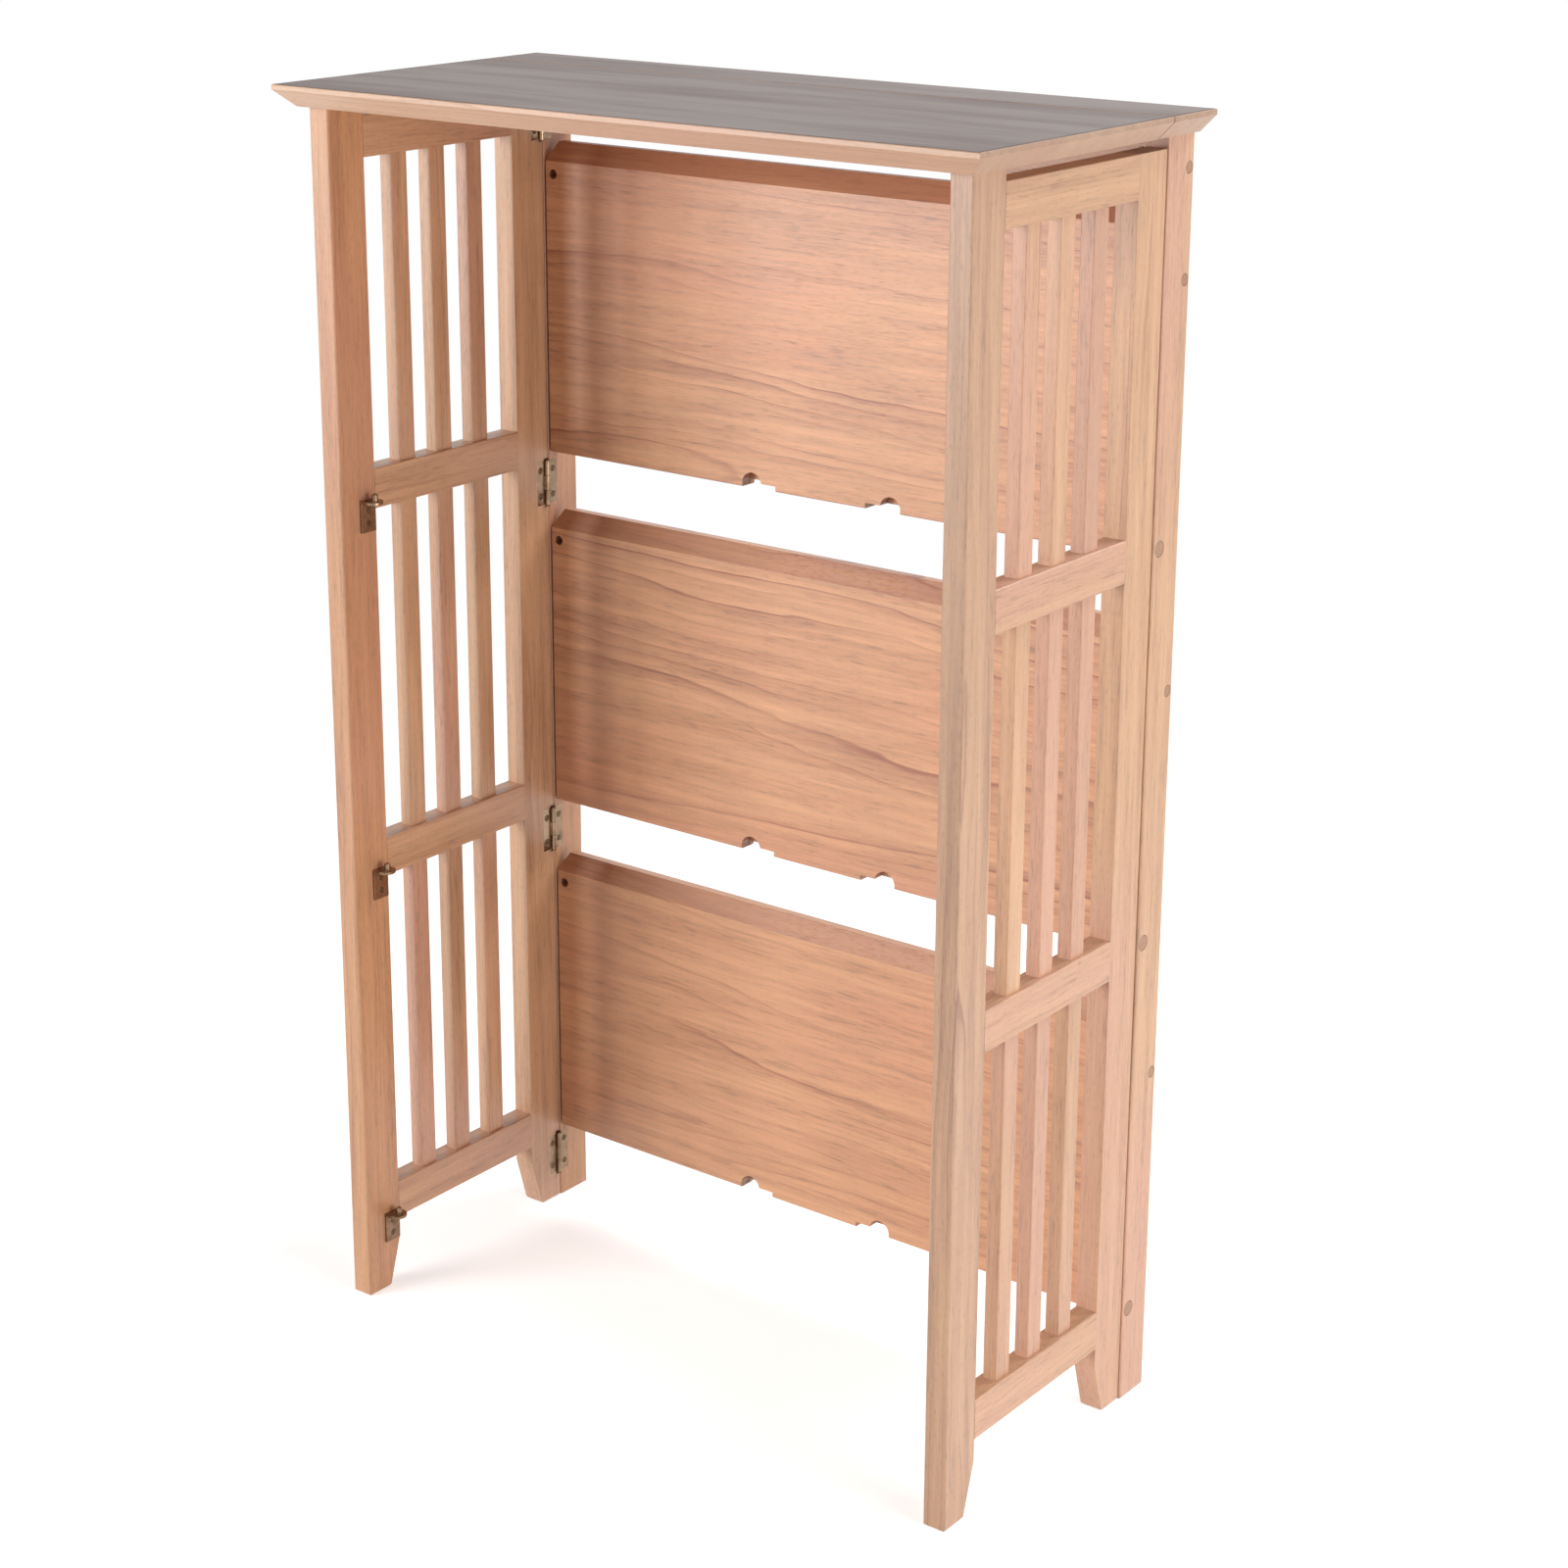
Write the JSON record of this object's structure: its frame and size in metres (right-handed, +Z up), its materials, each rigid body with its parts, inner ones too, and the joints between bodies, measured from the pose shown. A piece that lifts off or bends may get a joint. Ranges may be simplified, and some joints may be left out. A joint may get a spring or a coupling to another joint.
{
  "type": "folding bookstand rack",
  "caption": "Slatted wooden bookstand that folds flat: sides hinge inwards, shelves tip up against a back frame, and the front leaf of the top is hinged.",
  "frame": {"origin": "on the floor under the middle of the top: the middle of the bottom of the bounding box", "axes": "+X to the right across the rack, +Y to the back, +Z up"},
  "size_m": [0.642, 0.302, 1.016],
  "materials": {
    "frame_wood": "clear satin lacquer on pale pinkish hardwood",
    "shelf_wood": "clear satin lacquer on flat-sawn boards",
    "top_wood": "grey-brown satin surface, pale bevels",
    "dowel_wood": "plain, end grain showing",
    "bronze_hardware": "antique bronze plating",
    "steel_screws": "zinc plated"
  },
  "bodies": {
    "back_frame": {"back_post_left": "frame_wood", "back_post_right": "frame_wood", "back_rail_top": "frame_wood", "back_rail_upper": "frame_wood", "back_rail_middle": "frame_wood", "back_rail_lower": "frame_wood", "back_rail_dowels": "dowel_wood", "back_rail_screws": "steel_screws", "rail_screw_plugs": "dowel_wood", "shelf_pivot_screws": "steel_screws", "pivot_plugs": "dowel_wood", "top_rear_strip": "top_wood", "top_strip_dowels": "dowel_wood", "left_hinge_post_leaves": "bronze_hardware", "right_hinge_post_leaves": "bronze_hardware", "side_hinge_pins": "bronze_hardware", "post_hinge_screws": "bronze_hardware", "top_hinge_strip_leaves": "bronze_hardware", "top_hinge_pins": "bronze_hardware", "top_hinge_strip_screws": "bronze_hardware"},
    "left_side": {"left_front_post": "frame_wood", "left_rear_post": "frame_wood", "left_top_rail": "frame_wood", "left_upper_rail": "frame_wood", "left_lower_rail": "frame_wood", "left_bottom_rail": "frame_wood", "left_top_slats": "frame_wood", "left_middle_slats": "frame_wood", "left_bottom_slats": "frame_wood", "left_side_dowels": "dowel_wood", "left_hinge_frame_leaves": "bronze_hardware", "left_hinge_screws": "bronze_hardware", "left_shelf_brackets": "bronze_hardware", "left_bracket_studs": "bronze_hardware", "left_bracket_screws": "bronze_hardware"},
    "right_side": {"right_front_post": "frame_wood", "right_rear_post": "frame_wood", "right_top_rail": "frame_wood", "right_upper_rail": "frame_wood", "right_lower_rail": "frame_wood", "right_bottom_rail": "frame_wood", "right_top_slats": "frame_wood", "right_middle_slats": "frame_wood", "right_bottom_slats": "frame_wood", "right_side_dowels": "dowel_wood", "right_hinge_frame_leaves": "bronze_hardware", "right_hinge_screws": "bronze_hardware", "right_shelf_brackets": "bronze_hardware", "right_bracket_studs": "bronze_hardware", "right_bracket_screws": "bronze_hardware"},
    "upper_shelf": {"upper_shelf": "shelf_wood"},
    "middle_shelf": {"middle_shelf": "shelf_wood"},
    "lower_shelf": {"lower_shelf": "shelf_wood"},
    "top_leaf": {"top_front_leaf": "top_wood", "top_hinge_front_leaves": "bronze_hardware", "top_hinge_front_screws": "bronze_hardware"}
  },
  "joints": [
    {"name": "left_side_fold", "type": "hinge", "parent": "back_frame", "child": "left_side", "pos_m": [-0.2829, 0.113, 0.5], "axis": [0, 0, 1], "range_deg": [0, 90]},
    {"name": "right_side_fold", "type": "hinge", "parent": "back_frame", "child": "right_side", "pos_m": [0.2829, 0.113, 0.5], "axis": [0, 0, -1], "range_deg": [0, 90]},
    {"name": "upper_shelf_tip", "type": "hinge", "parent": "back_frame", "child": "upper_shelf", "pos_m": [0, 0.124, 0.697], "axis": [-1, 0, 0], "range_deg": [-90, 0]},
    {"name": "middle_shelf_tip", "type": "hinge", "parent": "back_frame", "child": "middle_shelf", "pos_m": [0, 0.124, 0.387], "axis": [-1, 0, 0], "range_deg": [-90, 0]},
    {"name": "lower_shelf_tip", "type": "hinge", "parent": "back_frame", "child": "lower_shelf", "pos_m": [0, 0.124, 0.077], "axis": [-1, 0, 0], "range_deg": [-90, 0]},
    {"name": "top_leaf_lift", "type": "hinge", "parent": "back_frame", "child": "top_leaf", "pos_m": [0, 0.0919, 0.9966], "axis": [-1, 0, 0], "range_deg": [0, 2.5]}
  ]
}
